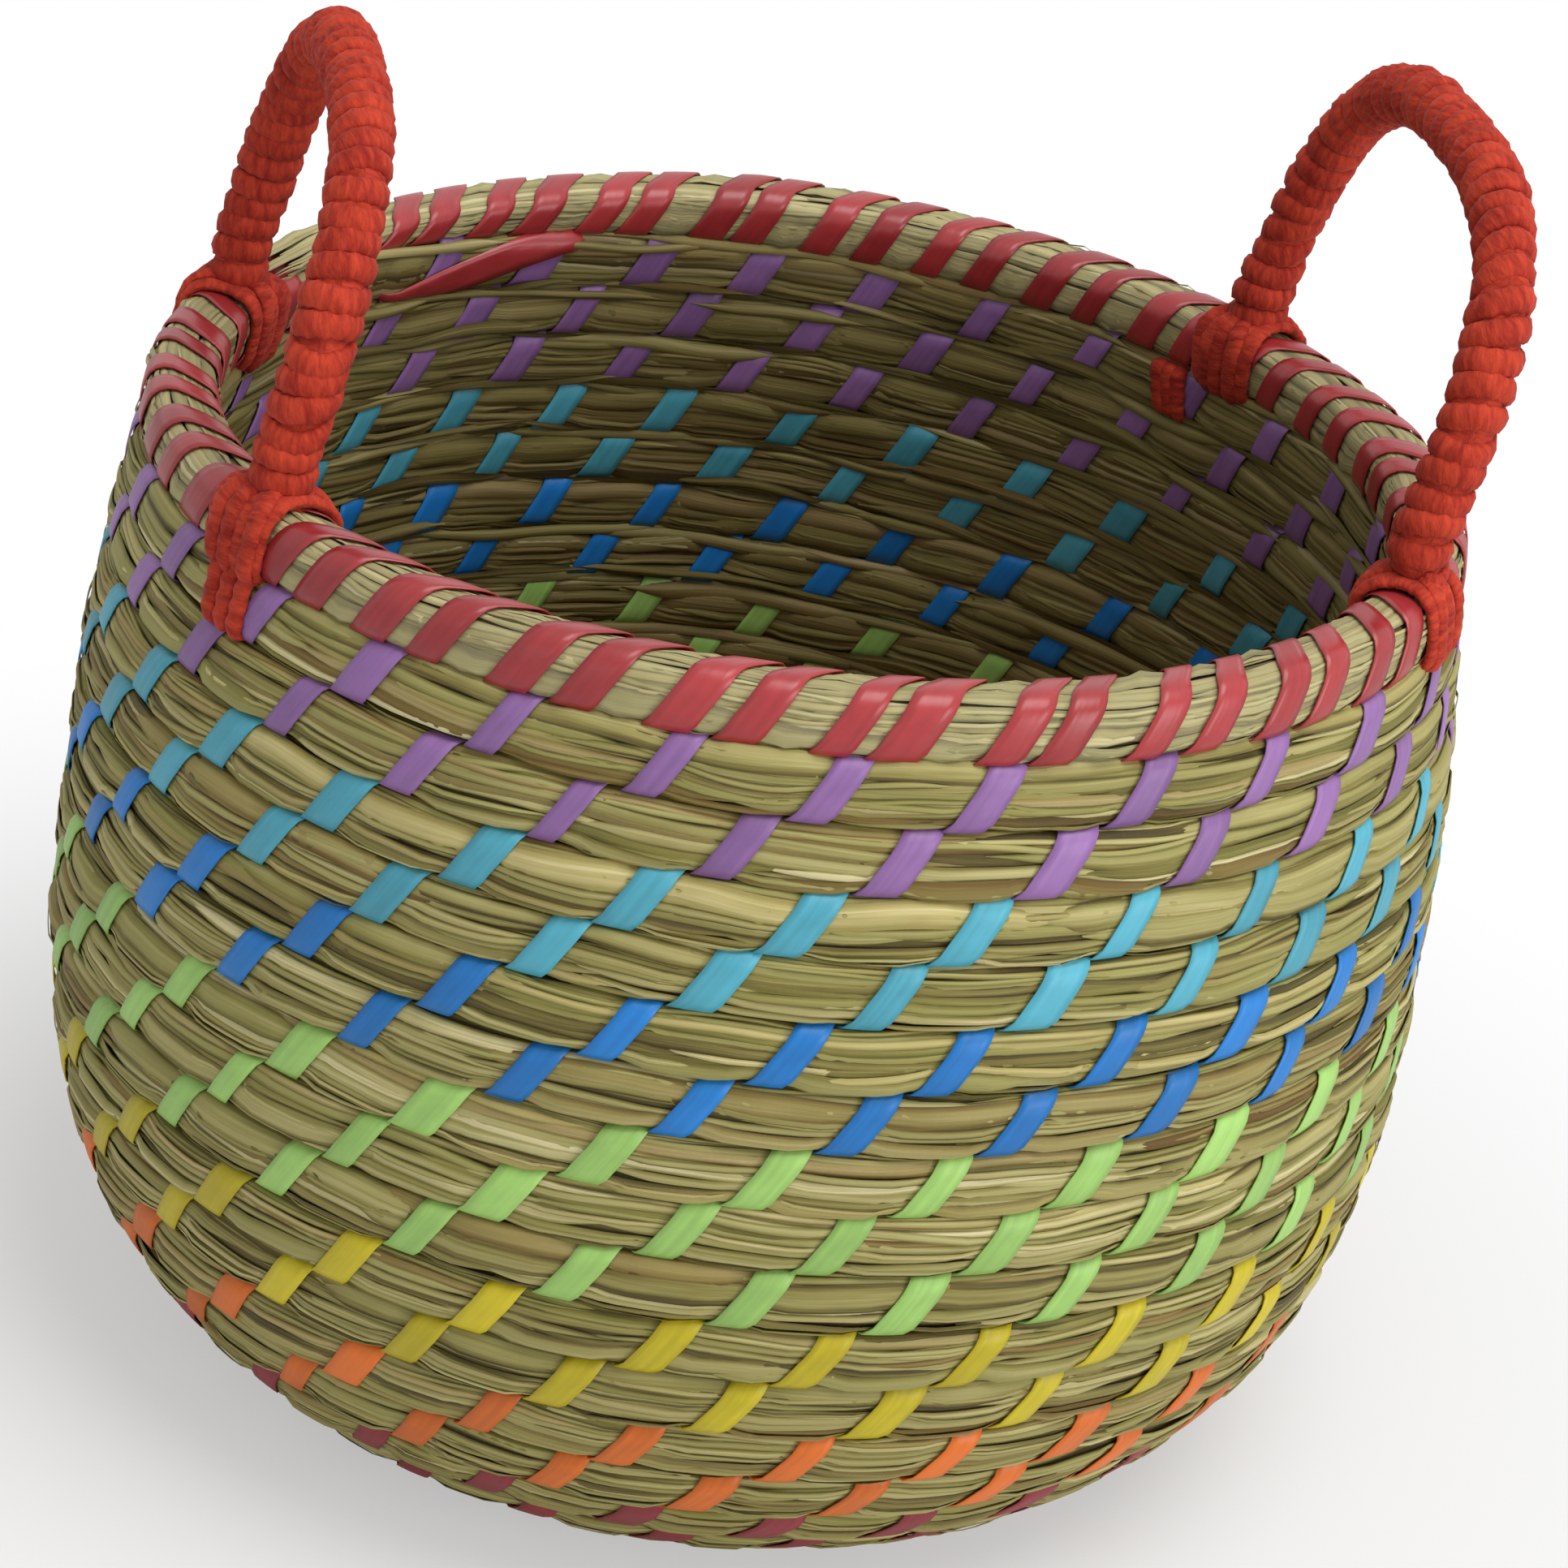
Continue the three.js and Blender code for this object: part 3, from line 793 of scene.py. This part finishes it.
        # Painted shade: each leaf is darker towards its edges, where the creases between the leaves
        # lie.
        shaded = np.clip(tone - self.edge_shade * np.abs(cross) ** 3, 0, 1)
        rows.buffer.add_grid(points, grain, tone=shaded, inside=inside)

    def lay_lanes(self, rows: Rows, low: float, high: float) -> None:
        """Lays leaves side by side and end to end, so that they close the bundle.

        Args:
            rows: takes the leaves.
            low: where round the section the lanes begin.
            high: where they stop.
        """
        rng = rows.rng
        for girth in np.arange(low, high, self.lane_pitch):
            turn = rows.first - rng.uniform(0, self.lane_start) * (rows.first > 0)
            while turn < rows.last:
                length = rng.uniform(*self.leaf_lengths)
                width = self.lane_pitch * rng.uniform(*self.lane_widths)
                tone = rows.tone(*self.lane_tone)
                place = girth + rng.uniform(-self.lane_shift, self.lane_shift) * self.lane_pitch
                self.add_leaf(rows, max(turn, self.first_turn), place, length, width,
                              rng.uniform(*self.lane_lifts), tone, self.lane_wander)
                opens = rng.uniform(0, 1) < self.gap_share
                gap = rng.uniform(*self.gap_lengths) * opens - self.tip_overlap * self.leaf_tip
                turn += (length + gap) / (TURN * float(self.coil.radius(turn)))

    def scatter(self, rows: Rows, kind: LeafKind, low: float, high: float) -> None:
        """Lays loose leaves over the lanes.

        Args:
            rows: takes the leaves.
            kind: their sizes, and how much of the rows they cover.
            low: where round the section they may start.
            high: where they stop.
        """
        rng = rows.rng
        run = self.coil.run(rows.first, rows.last)
        area = np.mean(self.leaf_lengths) * np.mean(kind.widths)
        count = int(kind.cover * run * (high - low) / area)
        early = self.loose_start * (rows.first > 0)
        for k in range(count):
            turn = rows.first + (rows.last - rows.first) * (k + rng.uniform(0, 1)) / count - early
            tone = rows.tone(self.loose_tone, kind.tone_spread)
            sizes = rows.draws((low, high), self.leaf_lengths, kind.widths, kind.lifts)
            wander = rng.uniform(*self.loose_wanders) * MM
            self.add_leaf(rows, max(turn, self.first_turn), *sizes, tone, wander)

    def lay_free(self, rows: Rows) -> None:
        """Lays loose leaves inside the basket that pass over the strips' ends."""
        rng, first, last = rows.rng, rows.first, min(rows.last, self.coil.bound_turns)
        run = self.coil.run(first, last)
        for side in (-1, 1):
            for k in range(int(run / self.free_spacing)):
                turn = first + (last - first) * k * self.free_spacing / run
                place = self.coil.girth / 2 + side * rng.uniform(*self.free_places)
                tone = rows.tone(*self.free_tone)
                sizes = rows.draws(self.free_lengths, self.free_widths, self.free_lifts)
                self.add_leaf(rows, turn, place, *sizes, tone, self.free_wander, free=True)

    def lay_tail(self, rows: Rows) -> None:
        """Lays the pale leaves that run out past the end of the coil."""
        for girth in np.arange(self.coil.girth_low, self.coil.girth_high, self.tail_pitch):
            start, length, width, lift, tone = rows.draws(*self.tail_ranges)
            self.add_leaf(rows, -start, girth, length * MM, width * MM, lift * MM, tone,
                          self.tail_wander)

    def build_leaves(self, band: Band, last: float, rng: Random,
                     material: Material) -> Object:
        """Leaves over the rows of one band.

        Args:
            band: the rows' binding, for the first turn and the name.
            last: the turn where they stop.
            rng: draws the leaves.
            material: the leaves' finish.

        Returns:
            The piece.
        """
        reach, inner = self.face_reach, self.coil.girth / 2
        on_rim = band.first < 1
        rows = Rows(0 if on_rim else band.first, last, rng)
        faces = ((-reach, inner + reach),) if on_rim else (
            (-reach, reach), (inner - reach, inner + reach))
        for low, high in faces:
            self.lay_lanes(rows, low, high)
            self.scatter(rows, WIDE_LEAVES, low, high)
            self.scatter(rows, THIN_LEAVES, low, high)
        if on_rim:
            self.lay_tail(rows)
        else:
            self.lay_free(rows)
        return rows.buffer.piece(f"{band.name}_rows_grass", material)


@dataclass(frozen=True)
class Binding:
    """A strip wound helically round its rows, one wrap for each stitch."""

    coil: Coil
    width: float = 5.75 * MM
    rim_share: float = 1.12
    inside_share: float = 1.12
    most_share: float = 0.5
    thickness: float = 0.22 * MM
    lift: float = 0.42 * MM
    samples: int = 26
    shift_spread: float = 0.022
    width_spread: float = 0.09
    tones: tuple = (0.1, 0.9)
    ease: tuple = (0.86, 1.0)
    loose_angles: tuple = (104.0, 130.0)
    loose_drop: float = 6.6 * MM
    loose_dive: float = 1.6 * MM
    loose_tip: float = 0.07
    loose_half: float = 0.52
    loose_length: float = 40 * MM
    loose_steps: int = 24
    across: tuple = (-1, -1, -0.5, 0, 0.5, 1, 1, 0)
    levels: tuple = (0, 1, 1.2, 1.25, 1.2, 1, 0, 0)

    def build(self, band: Band, last: float, rng: Random) -> Object:
        """Winds a band's strip.

        Args:
            band: its name, its colour and the turn where it starts.
            last: the turn where it stops.
            rng: draws each stitch's tone and place.

        Returns:
            The piece.
        """
        on_rim = band.first < 1
        buffer = MeshBuffer()
        for second in (0.0, self.coil.rim_second) if on_rim else (0.0,):
            low, high = (math.ceil(float(self.coil.count(turn)) - second)
                         for turn in (band.first, last))
            self.wind(buffer, low, high, second, rng)
        if on_rim:
            self.add_loose_end(buffer)
        look = StripFinish(f"{band.name}_strip", band.colour, band.roughness).material()
        return buffer.piece(f"{band.name}_binding", look)

    def add_loose_end(self, buffer: MeshBuffer) -> None:
        """Adds the rim strip's end, which lies slanting over the second row inside."""
        coil = self.coil
        s = np.linspace(0, 1, self.loose_steps)[:, None]
        low, high = self.loose_angles
        turn = (coil.end_angle - np.radians(low + (high - low) * s)) / TURN + 1
        girth = coil.girth / 2 + self.loose_drop * (2 * s - 1)
        girth = girth + self.loose_half * self.width * np.array(self.across)
        dive = self.loose_dive * (1 - smooth(np.minimum(s, 1 - s), 0, self.loose_tip))
        lifts = 2 * self.lift - dive + self.thickness * np.array(self.levels, float)
        points = coil.surface(turn, coil.angle_of(girth), lifts, np.zeros(girth.shape))
        grain = (s * self.loose_length, girth, 0.0)
        # The loose end lies inside the basket and takes the full painted shade.
        buffer.add_grid(points, grain, tube=True, tone=0.5, inside=1.0)

    def wind(self, buffer: MeshBuffer, low: int, high: int, second: float,
             rng: Random) -> None:
        """Adds one run of wraps.

        Args:
            buffer: takes the strip.
            low: the first stitch.
            high: the stitch after the last.
            second: how far round from a stitch's own place this run lies.
            rng: draws each stitch's tone and place.
        """
        coil = self.coil
        wraps = high - low
        first_lead = coil.corner_leads[0]
        start = float(np.interp(math.radians(coil.corners[0]), coil.table_angles, coil.table_girth))
        step = np.arange(wraps * self.samples + 1)
        girth = start + coil.girth * step / self.samples
        rounds = np.floor((girth - coil.girth_low) / coil.girth)
        angle = coil.angle_of(girth) + TURN * rounds
        lead = coil.lead(angle)
        wrap = np.clip(np.floor(lead - first_lead + 1e-9).astype(int), 0, wraps - 1)
        shift = rng.normal(0, self.shift_spread, wraps + 1)
        wider = 1 + rng.normal(0, self.width_spread, wraps + 1)
        tones = rng.uniform(*self.tones, wraps + 1)
        ease = smooth(lead - first_lead - wrap, *self.ease)
        shift, wider, tones = (table[wrap] * (1 - ease) + table[wrap + 1] * ease
                               for table in (shift, wider, tones))
        count = high + second - lead + shift
        turn = coil.turn_of(count)
        spacing = coil.spacing(turn)
        inner = smooth(-np.cos(angle), *coil.facing_in)
        share = np.where(turn < 1, self.rim_share, 1 + (self.inside_share - 1) * inner)
        width = self.width * wider * share
        half = np.minimum(width, self.most_share * spacing) / 2 / spacing
        cross = np.array(self.across, float)
        places = coil.turn_of(count[:, None] + half[:, None] * cross)
        lifts = self.lift + self.thickness * np.array(self.levels, float)
        points = coil.surface(places, angle[:, None], lifts, np.ones(places.shape))
        grain = ((girth - start)[:, None], (half * spacing)[:, None] * cross, second * 7)
        # From here inner is the mask for the painted shade on strips facing into the basket, weaker
        # on the rim row.
        inner = inner * smooth(turn, *coil.inside_turns)
        buffer.add_grid(points, grain, tube=True, tone=tones[:, None], inside=inner[:, None])


@dataclass(frozen=True)
class Yarn:
    """A plied yarn, flatter than it is wide."""

    half_width: float
    half_height: float
    sides: int = 10
    plies: int = 3
    lay: float = 9 * MM
    relief: float = 0.1

    def tube(self, path: Array, outward: Array, draw: float = 0.0) -> tuple:
        """The yarn along a path.

        Args:
            path: the yarn's middle line.
            outward: at each point, the way its flatter side faces.
            draw: a number that sets this length of yarn apart.

        Returns:
            The rows of points, and the grain along and round the yarn.
        """
        wide, high = self.half_width, self.half_height
        tangent = unit(np.gradient(path, axis=0))
        side = unit(np.cross(tangent, outward))
        normal = np.cross(side, tangent)
        length = distances(path)[:, None]
        turn = TURN * np.arange(self.sides) / self.sides
        twist = TURN * length / self.lay
        swell = 1 + self.relief * np.cos(self.plies * turn[None, :] + twist * self.plies)
        points = (path[:, None] + wide * (swell * np.cos(turn))[..., None] * side[:, None]
                  + high * (swell * np.sin(turn))[..., None] * normal[:, None])
        around = turn * (wide + high) / 2 + twist * (wide + high) / 2
        return points, (length, around, draw)


@dataclass
class Handle:
    """One rope handle: half an ellipse on end, wound with thick yarn."""

    body: Body
    place: Array
    axis: Array
    half_span: float
    height: float
    lean: float = math.radians(11.5)
    wraps: int = 42
    fullness: float = 2.8
    winding_radius: float = 4.3 * MM
    rope_radius: float = 4.4 * MM
    rope_steps: int = 120
    rope_sides: int = 20
    yarn: Yarn = Yarn(2.3 * MM, 1.25 * MM)
    foot: float = 6 * MM
    samples: int = 22
    slant_spread: float = 0.16
    bump_spread: float = 0.045
    wobble: float = 0.22
    unevenness: float = 0.03
    table_size: int = 1441

    def __post_init__(self) -> None:
        """Measures along the arch."""
        self.table_turns = np.linspace(0, math.pi, self.table_size)
        across, up = self.shares(self.table_turns)
        self.table_along = running(
            np.hypot(self.half_span * np.diff(across), self.height * np.diff(up)))
        self.length = float(self.table_along[-1])
        self.seed = 3.3 if self.body is Body.LEFT else 5.1

    def shares(self, turn: Array) -> tuple[Array, Array]:
        """How far across and up the arch is, as shares of its half span and height."""
        c, s = np.cos(turn), np.maximum(np.sin(turn), 0)
        return -np.sign(c) * np.abs(c) ** (2 / self.fullness), s ** (2 / self.fullness)

    def arch(self, along: Array) -> tuple[Array, Array, Array]:
        """The arch at distances along it.

        Args:
            along: distances from the front foot, also a little past both ends.

        Returns:
            The middle line, the way out of the arch, and the way out of its plane.
        """
        along = np.asarray(along, float)
        turn = np.interp(along, self.table_along, self.table_turns)
        back = self.axis
        rise = math.cos(self.lean) * UP + math.sin(self.lean) * unit(np.cross(back, UP))
        sideways = np.cross(back, rise)
        across, up = (share[..., None] for share in self.shares(turn))
        below = np.minimum(np.minimum(along, self.length - along), 0)[..., None]
        middle = self.place + self.half_span * across * back
        middle = middle + self.height * up * rise + below * UP
        power = self.fullness - 1
        outer = self.height * np.sign(across) * np.abs(across) ** power
        out = unit(outer * back + self.half_span * up ** power * rise)
        return middle, out, np.broadcast_to(sideways, out.shape)

    def build_winding(self, rng: Random) -> Object:
        """The yarn, one unbroken length wound from foot to foot, and the rope under it."""
        t = np.arange(self.wraps * self.samples + 1) / self.samples
        knots = np.arange(self.wraps + 2)
        pitch = (self.length + 2 * self.foot) / self.wraps
        turn = TURN * t
        slants = np.interp(t, knots, rng.normal(0, self.slant_spread, len(knots)))
        wobble = self.wobble * waves(t / 7, self.seed) * np.sin(turn + 1.5 * waves(t / 11, 8.1))
        along = pitch * (t + wobble + slants * np.cos(turn)) - self.foot
        middle, out, sideways = self.arch(np.clip(along, -self.foot, self.length + self.foot))
        outward = np.cos(turn)[:, None] * out + np.sin(turn)[:, None] * sideways
        bumps = np.interp(t, knots, rng.normal(0, self.bump_spread, len(knots)))
        uneven = 1 + self.unevenness * waves(t / 1.7, self.seed + 2.2) + bumps
        path = middle + (self.winding_radius * uneven)[:, None] * outward
        buffer = MeshBuffer()
        buffer.add_grid(*self.yarn.tube(path, outward), tube=True)
        along = np.linspace(-self.foot, self.length + self.foot, self.rope_steps)
        middle, out, sideways = (line[:, None] for line in self.arch(along))
        turn = np.linspace(0, TURN, self.rope_sides, endpoint=False)
        ring = np.cos(turn)[:, None] * out + np.sin(turn)[:, None] * sideways
        points = middle + self.rope_radius * ring
        buffer.add_grid(points, (along[:, None], self.rope_radius * turn, 0.0), tube=True)
        return buffer.piece(f"{self.body.value}_yarn", YarnFinish().material())


@dataclass(frozen=True)
class Lashing:
    """Yarn that straddles the rim under one foot of a handle."""

    coil: Coil
    middle: float
    strands: int = 6
    samples: int = 44
    stations: tuple = (-66, -30, 45, 90, 135, 200, 246)
    half_widths: tuple = (5.2, 5.8, 6.2, 4.6, 6.2, 5.8, 5.2)
    crossings: tuple = ((-0.75, 0.6), (0.8, -0.55), (-0.15, 0.2))
    crossing_lift: float = 0.8 * MM
    place_spread: float = 0.05
    lift_spread: float = 0.12
    ends: tuple = (-64.0, 244.0)
    crossover: tuple = (20, 160)
    lift: float = 1.35 * MM
    top_lift: float = 0.6 * MM
    top_angles: tuple = (60, 10)
    tuck: float = 2.4 * MM
    tuck_turn: float = 22.0
    catch_lift: float = -0.3 * MM
    yarn: Yarn = Yarn(1.9 * MM, 1.0 * MM)

    def strand(self, outer: float, inner: float, over: float, row: int = 0,
               ends: tuple | None = None) -> tuple[Array, Array]:
        """One strand over the rim.

        Args:
            outer: where it lies on the outer face, from -1 to 1 across the lashing.
            inner: where it lies on the inner face.
            over: how much higher it lies than the first layer.
            row: how many rows below the rim it lies.
            ends: where round the row's section it starts and stops, in degrees.

        Returns:
            The strand's middle line, and the way off the row along it.
        """
        start, stop = ends or self.ends
        degrees = np.linspace(start, stop, self.samples)
        share = outer + (inner - outer) * smooth(degrees, *self.crossover)
        width = np.interp(degrees, self.stations, self.half_widths) * MM
        angle = self.middle + share * width / float(self.coil.radius(0.5))
        turn = np.mod((self.coil.end_angle - angle) / TURN, 1) + row
        end = np.minimum(degrees - start, stop - degrees)
        lift = self.lift + over - self.tuck * (1 - smooth(end, 0, self.tuck_turn))
        lift = lift + self.top_lift * smooth(np.abs(degrees - 90), *self.top_angles)
        held = np.ones(turn.shape)
        path, above = (self.coil.surface(turn, np.radians(degrees), height, held)
                       for height in (lift, lift + MM))
        return path, unit(above - path)

    def build(self, name: str, rng: Random, catches: tuple,
              catch_ends: tuple) -> Object:
        """The lashing's strands and any catch stitches near it.

        Args:
            name: the piece's name.
            rng: draws the strands' unevenness.
            catches: where across the lashing the catch stitches lie.
            catch_ends: where round the second row they start and stop, in degrees.

        Returns:
            The piece.
        """
        buffer = MeshBuffer()
        paths = []
        for place in np.linspace(-1, 1, self.strands):
            outer = place + rng.normal(0, self.place_spread)
            inner = place + rng.normal(0, self.place_spread)
            paths.append(self.strand(outer, inner, rng.normal(0, self.lift_spread) * MM))
        for outer, inner in self.crossings:
            paths.append(self.strand(outer, inner, self.crossing_lift))
        for place in catches:
            paths.append(self.strand(place, place, self.catch_lift, 1, catch_ends))
        for path, outward in paths:
            buffer.add_grid(*self.yarn.tube(path, outward, rng.uniform(0, 9)), tube=True)
        return buffer.piece(name, YarnFinish().material())


@dataclass(frozen=True)
class Stage:
    """Floor, lamps, world and camera."""

    camera_target: tuple = (0.00519, -0.00011, 0.10618)
    camera_distance: float = 0.792
    camera_turn: float = math.radians(14.5)
    camera_elevation: float = math.radians(25.64)
    roll: float = math.radians(9.55)
    focal: float = 100.63
    sensor: float = 36.0
    clip: tuple = (0.01, 20)
    lamps: tuple = (
        ("overhead", (0.3, -0.45, 1.65), 1.2, 18),
        ("front_left", (-1.3, -1.5, 0.42), 1.1, 1.5),
        ("front_right", (1.3, -1.5, 0.45), 1.1, 14),
    )
    lamp_target: tuple = (0, 0, 0.09)
    world_strength: float = 0.42
    floor_size: float = 6.0
    floor_height: float = -0.5 * MM
    floor_tone: float = 0.82
    floor_glow: float = 0.45
    glow_distances: tuple = (0.12, 0.3)

    def build_camera(self) -> None:
        """The camera at the photograph's viewing angle."""
        turn, rise = self.camera_turn, self.camera_elevation
        level_back = Vector((-math.sin(turn), -math.cos(turn), 0))
        back = level_back * math.cos(rise) + Vector((0, 0, math.sin(rise)))
        place = Vector(self.camera_target) + back * self.camera_distance
        level = Vector((0, 0, 1)).cross(back).normalized()
        upright = back.cross(level)
        right = level * math.cos(self.roll) + upright * math.sin(self.roll)
        up = upright * math.cos(self.roll) - level * math.sin(self.roll)
        data = bpy.data.cameras.new("camera")
        data.lens = self.focal
        data.sensor_width = self.sensor
        data.clip_start, data.clip_end = self.clip
        camera = link("camera", data)
        axes = Matrix((right, up, back)).transposed().to_4x4()
        camera.matrix_world = Matrix.Translation(place) @ axes
        bpy.context.scene.camera = camera

    def build_lamps(self) -> None:
        """Large soft lamps."""
        for name, place, size, power in self.lamps:
            data = bpy.data.lights.new(name, "AREA")
            data.shape = "DISK"
            data.size = size
            data.energy = power
            lamp = link(name, data)
            lamp.location = place
            aim = Vector(self.lamp_target) - Vector(place)
            lamp.rotation_mode = "QUATERNION"
            lamp.rotation_quaternion = aim.to_track_quat("-Z", "Y")

    def build_world(self) -> None:
        """A surrounding that lights the object softly, and is white where it is seen."""
        world = bpy.data.worlds.new("world")
        bpy.context.scene.world = world
        s = Shader("world", world)
        seen = s.maths("MAXIMUM", s.node("LightPath", output="Is Camera Ray"),
                       s.node("LightPath", output="Is Glossy Ray"))
        values = {"Value": seen, "To Min": self.world_strength, "To Max": 1.0}
        strength = s.node("MapRange", None, values)
        s.finish(s.node("Background", None, {"Color": (1, 1, 1, 1), "Strength": strength}))

    def build_floor(self) -> None:
        """A pale floor that keeps the object's shadow and goes white further out."""
        half = self.floor_size / 2
        cross = np.linspace(-half, half, 9)
        x, y = np.meshgrid(cross, cross, indexing="ij")
        points = np.stack([x, y, np.full(x.shape, self.floor_height)], axis=-1)
        s = Shader("floor")
        path = s.node("LightPath", output="Is Camera Ray")
        place = s.node("NewGeometry", output="Position")
        away = s.node("VectorMath", {"operation": "LENGTH"}, {0: place}, "Value")
        tone = self.floor_tone
        plain = s.node("BsdfDiffuse", None, {"Color": (tone, tone, tone, 1)})
        glow = s.node("Emission", None, {"Color": (1, 1, 1, 1), "Strength": 1.0})
        glowing = (1 - self.floor_glow) * s.ramp(away, *self.glow_distances)
        share = path * (self.floor_glow + glowing)
        mixed = s.node("MixShader", None, {0: share, 1: plain, 2: glow})
        buffer = MeshBuffer()
        buffer.add_grid(points)
        buffer.piece("floor", s.finish(mixed))


def dress_basket(rng: Random) -> None:
    """Builds the coil, its leaves and its bindings, all on the basket's body."""
    coil = Coil()
    bundle = GrassBundle(coil)
    binding = Binding(coil)
    pith = bundle.build_pith()
    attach(pith, Body.BASKET.value)
    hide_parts("seagrass_coil")
    grass = GrassFinish().material()
    # The rim row's grass carries painted light: it is made paler where light falls on the top of
    # the basket.
    bleached = GrassFinish(name="painted_top_light_seagrass", bleach=0.3).material()
    for band in BANDS:
        last = coil.turns - coil.base_margin if band is BANDS[-1] else band.last
        leaves = bundle.build_leaves(band, last, rng, bleached if band.first < 1 else grass)
        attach(leaves, Body.BASKET.value)
        strip = binding.build(band, last, rng)
        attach(strip, Body.BASKET.value)
        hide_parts(band.node)


HANDLE_SIZES = {Body.LEFT: (49 * MM, 50.5 * MM), Body.RIGHT: (57 * MM, 53.5 * MM)}
CATCH_STITCHES = {
    "left_front_lashing": ((-0.5, 0.1, 0.7), (-60.0, 60.0)),
    "right_back_lashing": ((1.9, 2.3, 2.7), (128.0, 238.0)),
}


def dress_handles(rng: Random) -> None:
    """Builds both handles' yarn, which bends where they leave the rim, and their lashings."""
    coil = Coil()
    for joint in frame["joints"]:
        body = Body(joint["child"])
        place, axis = np.array(joint["pos_m"]), np.array(joint["axis"])
        handle = Handle(body, place, axis, *HANDLE_SIZES[body])
        yarn = handle.build_winding(rng)
        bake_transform(yarn)
        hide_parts(f"{body.value}_core", f"{body.value}_winding")
        for name, along in (("front", 0.0), ("back", handle.length)):
            foot = handle.arch(np.array(along))[0]
            lashing = Lashing(coil, math.atan2(foot[1], foot[0]))
            node = f"{body.value.split('_')[0]}_{name}_lashing"
            piece = lashing.build(f"{node}_yarn", rng, *CATCH_STITCHES.get(node, ((), ())))
            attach(piece, Body.BASKET.value)
            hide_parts(node)


def main() -> None:
    """Builds the stage and every piece of the basket."""
    logging.basicConfig(level=logging.INFO, format="%(message)s")
    rng = np.random.default_rng(SEED)
    stage = Stage()
    stage.build_camera()
    stage.build_lamps()
    stage.build_world()
    stage.build_floor()
    bpy.context.scene.view_settings.view_transform = "Standard"
    dress_basket(rng)
    dress_handles(rng)


if __name__ == "__main__":
    main()
